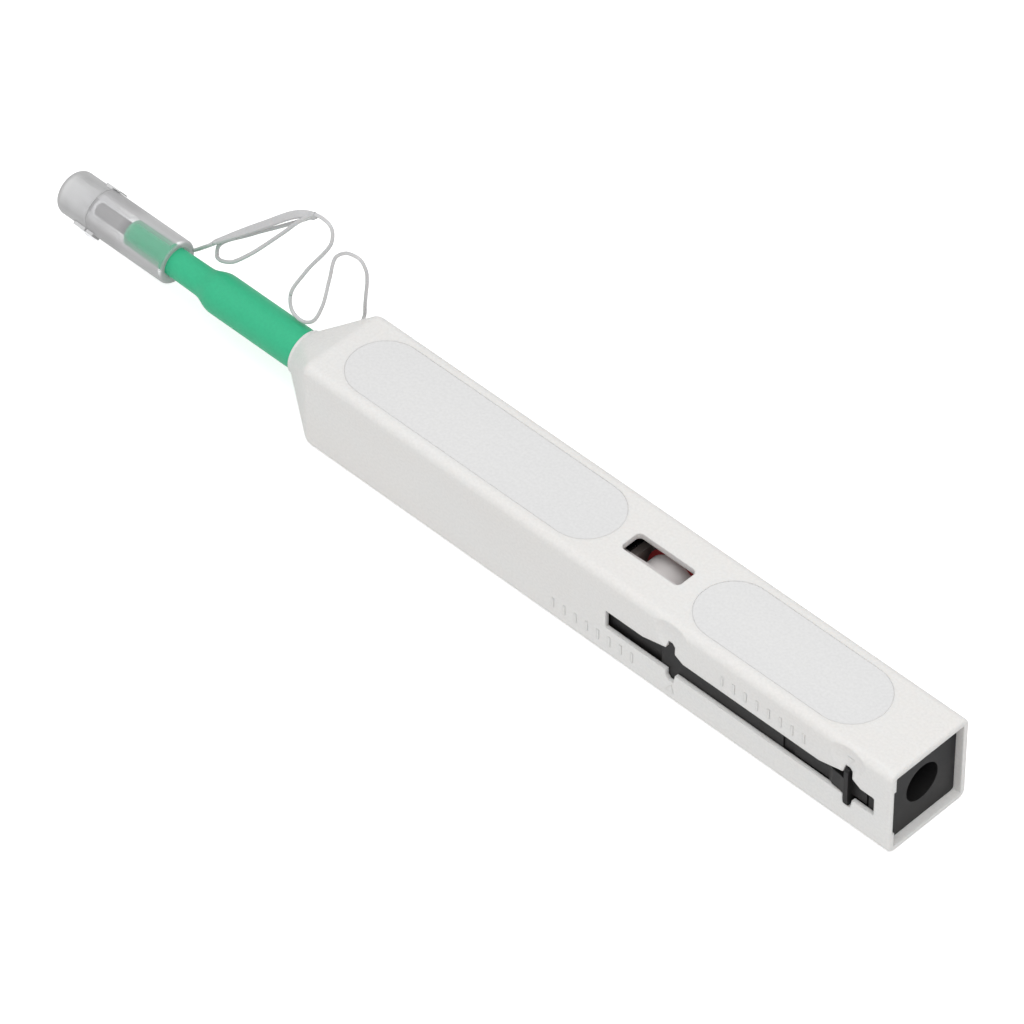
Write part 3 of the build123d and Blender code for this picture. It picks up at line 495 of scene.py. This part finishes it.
# ------------------------------------------------------------------ stage, light and camera
FLOOR_SIDE = 6.0
FLOOR_GAP = 0.05 * MM
FLOOR_GLOW = 0.55  # lets the floor show as white to the camera
CAMERA_AT = Vector((0.562274, -0.599081, 0.870294))
CAMERA_AZIMUTH = 44.4813
CAMERA_ELEVATION = 45.8517
CAMERA_ROLL = -0.2552
LENS = 261.311
# Brightness of the surroundings, by upward and sideways direction: start, brightness there, brightness at 1.
# It is brighter overhead than at the horizon, and dimmer behind the pen than where the camera stands.
GLOW_RAMPS = {"Z": (0.0, 0.58, 0.98), "Y": (-1.0, 0.98, 0.70)}
KEY_AT = Vector((0.25, -0.2, 1.0))
KEY_TARGET = Vector((0, 0, 0.01))
KEY_SIZE = 0.7
KEY_WATTS = 3.6

floor_mesh = bpy.data.meshes.new("floor")
half = FLOOR_SIDE / 2
corners = [(-half, -half, -FLOOR_GAP), (half, -half, -FLOOR_GAP), (half, half, -FLOOR_GAP),
           (-half, half, -FLOOR_GAP)]
floor_mesh.from_pydata(corners, [], [(0, 1, 2, 3)])
floor = bpy.data.objects.new("floor", floor_mesh)
bpy.context.scene.collection.objects.link(floor)
t = Tree("plain_pale_floor")
path = t.nodes.new("ShaderNodeLightPath")
paper = t.principled(Base_Color=rgb(0.86, 0.86, 0.86), Roughness=0.9, Specular_IOR_Level=0.1,
                     Emission_Color=rgb(1, 1, 1),
                     Emission_Strength=t.math("MULTIPLY", path.outputs["Is Camera Ray"], FLOOR_GLOW))
floor_mesh.materials.append(t.finish(paper))

world = bpy.data.worlds.new("soft_studio")
bpy.context.scene.world = world
world.use_nodes = True
wn, wl = world.node_tree.nodes, world.node_tree.links
wn.clear()
direction = wn.new("ShaderNodeTexCoord")
parts = wn.new("ShaderNodeSeparateXYZ")
wl.new(direction.outputs["Generated"], parts.inputs[0])
glow = wn.new("ShaderNodeMath")
glow.operation = "MULTIPLY"
for index, (direction_part, (start, low, high)) in enumerate(GLOW_RAMPS.items()):
    ramp = wn.new("ShaderNodeMapRange")
    ramp.inputs["From Min"].default_value = start
    ramp.inputs["From Max"].default_value = 1.0
    ramp.inputs["To Min"].default_value = low
    ramp.inputs["To Max"].default_value = high
    wl.new(parts.outputs[direction_part], ramp.inputs["Value"])
    wl.new(ramp.outputs["Result"], glow.inputs[index])
sky = wn.new("ShaderNodeBackground")
sky.inputs["Color"].default_value = (1.0, 1.0, 1.0, 1.0)
wl.new(glow.outputs[0], sky.inputs["Strength"])
out = wn.new("ShaderNodeOutputWorld")
wl.new(sky.outputs[0], out.inputs["Surface"])

key_light = bpy.data.lights.new("key", "AREA")
key_light.size = KEY_SIZE
key_light.energy = KEY_WATTS
key = bpy.data.objects.new("key", key_light)
key.location = KEY_AT
key.rotation_euler = (KEY_TARGET - KEY_AT).to_track_quat("-Z", "Y").to_euler()
bpy.context.scene.collection.objects.link(key)

camera_data = bpy.data.cameras.new("camera")
camera_data.lens = LENS
camera_data.sensor_width = 36.0
camera_data.clip_start = 0.05
camera_data.clip_end = 20.0
camera = bpy.data.objects.new("camera", camera_data)
azimuth, elevation, roll = (math.radians(v) for v in (CAMERA_AZIMUTH, CAMERA_ELEVATION, CAMERA_ROLL))
back = Vector((math.sin(azimuth) * math.cos(elevation), -math.cos(azimuth) * math.cos(elevation),
               math.sin(elevation)))
level = Vector((math.cos(azimuth), math.sin(azimuth), 0))
upward = back.cross(level)
right = level * math.cos(roll) + upward * math.sin(roll)
upward = back.cross(right)
camera.matrix_world = Matrix((right, upward, back)).transposed().to_4x4()
camera.location = CAMERA_AT
bpy.context.scene.collection.objects.link(camera)
bpy.context.scene.camera = camera
bpy.context.scene.view_settings.view_transform = "Standard"
